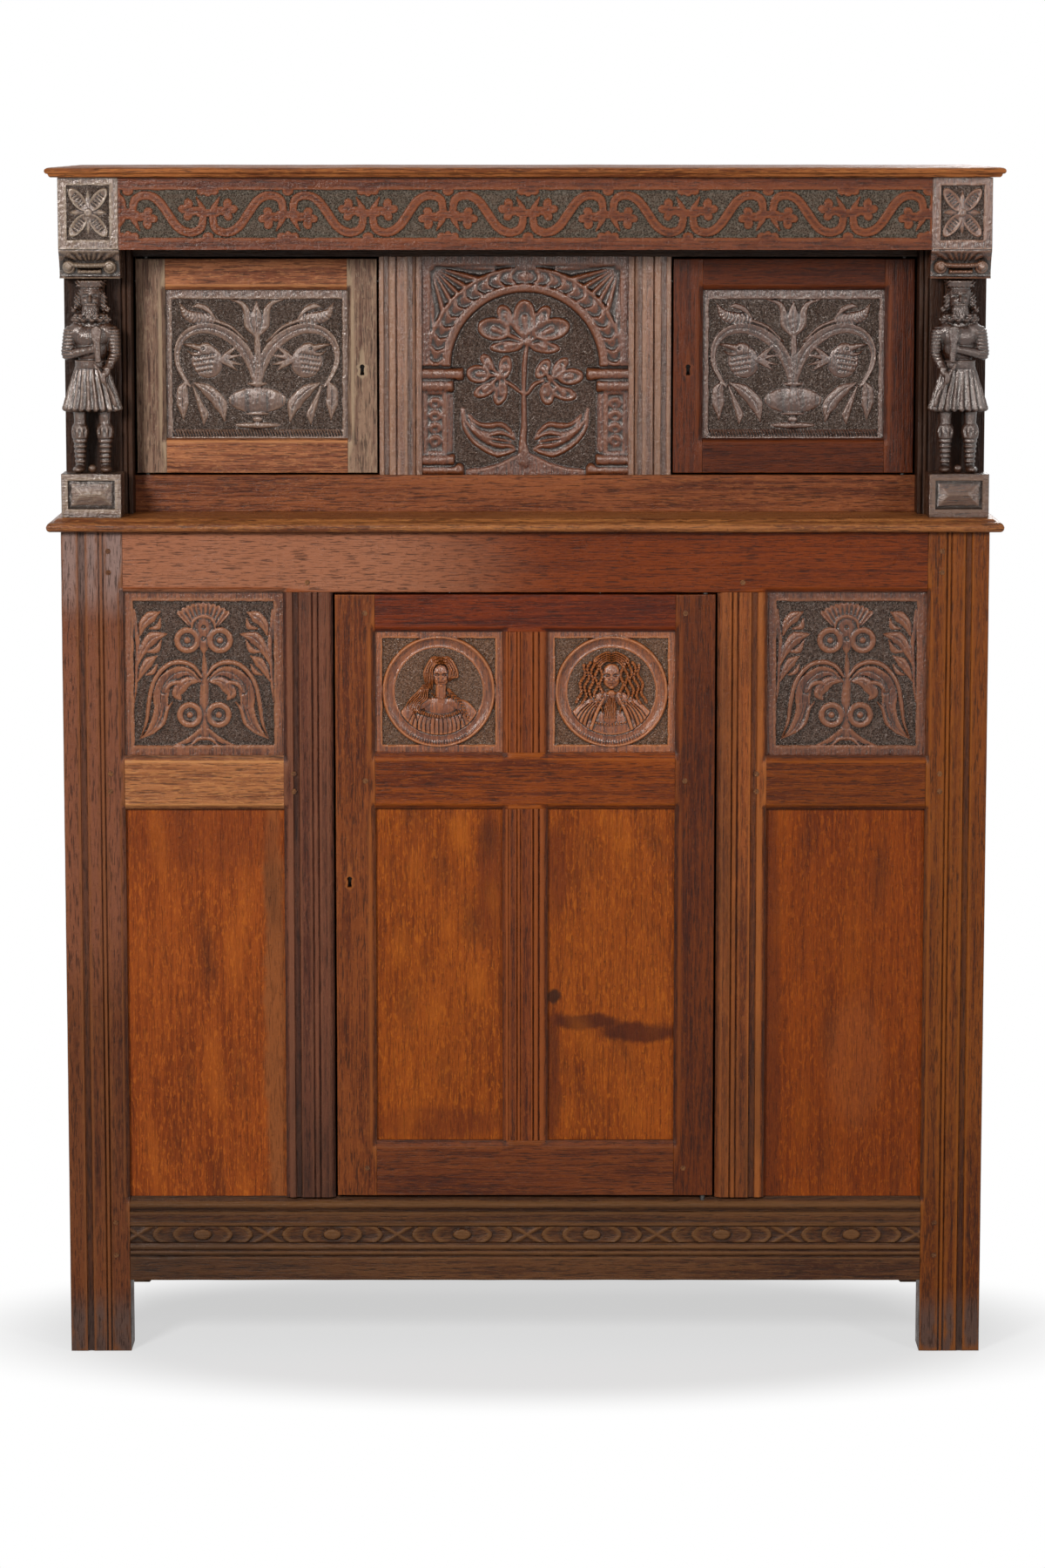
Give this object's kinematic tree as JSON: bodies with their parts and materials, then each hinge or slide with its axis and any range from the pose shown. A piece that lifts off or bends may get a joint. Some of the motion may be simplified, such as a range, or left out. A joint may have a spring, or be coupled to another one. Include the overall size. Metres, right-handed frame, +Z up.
{
  "type": "court cupboard",
  "caption": "Joined oak court cupboard with a panelled lower door, small upper doors beside an arcaded panel, and corner figures that carry a carved frieze.",
  "frame": {"origin": "centre of the bounding box on the floor, under the feet", "axes": "+Z up, -Y towards the carved front, +X to the viewer's right when facing the front"},
  "size_m": [1.337, 0.49, 1.682],
  "materials": {
    "oak_frame": "waxed, worn arrises",
    "oak_panel": "waxed, warm and polished",
    "oak_upper": "waxed, nearly black",
    "oak_carved": "waxed, dark in the hollows",
    "oak_door": "waxed",
    "oak_shelf": "waxed, honey at the moulded nose",
    "oak_inside": "bare, dry",
    "oak_peg": "end grain, dark",
    "iron": "forged, dark and dry"
  },
  "bodies": {
    "carcase": {"lower_front_stile_left": "oak_frame", "lower_front_stile_right": "oak_frame", "lower_back_stiles": "oak_frame", "lower_top_rail": "oak_frame", "lower_bottom_rail": "oak_frame", "lower_muntins": "oak_frame", "lower_mid_rails": "oak_frame", "lower_side_rails": "oak_frame", "plain_panels": "oak_panel", "lower_side_panels": "oak_panel", "carved_panel_left": "oak_carved", "carved_panel_right": "oak_carved", "arch_panel": "oak_carved", "frieze_rail": "oak_carved", "pedestals": "oak_upper", "figure_left": "oak_upper", "figure_right": "oak_upper", "corner_blocks": "oak_upper", "upper_post_left": "oak_upper", "upper_post_right": "oak_upper", "recess_bottom_rail": "oak_upper", "recess_top_rail": "oak_upper", "recess_muntins": "oak_upper", "upper_side_rails": "oak_upper", "upper_side_panels": "oak_upper", "shelf_board": "oak_shelf", "top_board": "oak_shelf", "lower_back_rails": "oak_inside", "lower_back_boards": "oak_inside", "floor_boards": "oak_inside", "inner_shelf": "oak_inside", "inner_shelf_cleats": "oak_inside", "canopy_soffit": "oak_inside", "upper_back_stiles": "oak_inside", "upper_back_boards": "oak_inside", "case_pegs": "oak_peg"},
    "lower_door": {"lower_door_plain_panels": "oak_panel", "medallion_panel_left": "oak_carved", "medallion_panel_right": "oak_carved", "lower_door_hinge_stile": "oak_door", "lower_door_lock_stile": "oak_door", "lower_door_top_rail": "oak_door", "lower_door_mid_rail": "oak_door", "lower_door_bottom_rail": "oak_door", "lower_door_muntins": "oak_door", "lower_door_pegs": "oak_peg", "lower_door_pins": "iron", "lower_door_lock": "iron"},
    "upper_left_door": {"upper_left_door_panel": "oak_carved", "upper_left_door_frame": "oak_upper", "upper_left_door_pins": "iron", "upper_left_door_lock": "iron"},
    "upper_right_door": {"upper_right_door_panel": "oak_carved", "upper_right_door_frame": "oak_upper", "upper_right_door_pins": "iron", "upper_right_door_lock": "iron"},
    "lower_bolt": {"lower_door_bolt": "iron"},
    "upper_left_bolt": {"upper_left_door_bolt": "iron"},
    "upper_right_bolt": {"upper_right_door_bolt": "iron"}
  },
  "joints": [
    {"name": "lower_door_hinge", "type": "hinge", "parent": "carcase", "child": "lower_door", "pos_m": [0.253, -0.216, 0.656], "axis": [0, 0, 1], "range_deg": [0, 110]},
    {"name": "upper_left_door_hinge", "type": "hinge", "parent": "carcase", "child": "upper_left_door", "pos_m": [-0.536, -0.111, 1.402], "axis": [0, 0, -1], "range_deg": [0, 95]},
    {"name": "upper_right_door_hinge", "type": "hinge", "parent": "carcase", "child": "upper_right_door", "pos_m": [0.536, -0.111, 1.402], "axis": [0, 0, 1], "range_deg": [0, 95]},
    {"name": "lower_bolt_slide", "type": "slide", "parent": "lower_door", "child": "lower_bolt", "axis": [-1, 0, 0], "range_m": [0, 0.009]},
    {"name": "upper_left_bolt_slide", "type": "slide", "parent": "upper_left_door", "child": "upper_left_bolt", "axis": [1, 0, 0], "range_m": [0, 0.009]},
    {"name": "upper_right_bolt_slide", "type": "slide", "parent": "upper_right_door", "child": "upper_right_bolt", "axis": [-1, 0, 0], "range_m": [0, 0.009]}
  ]
}
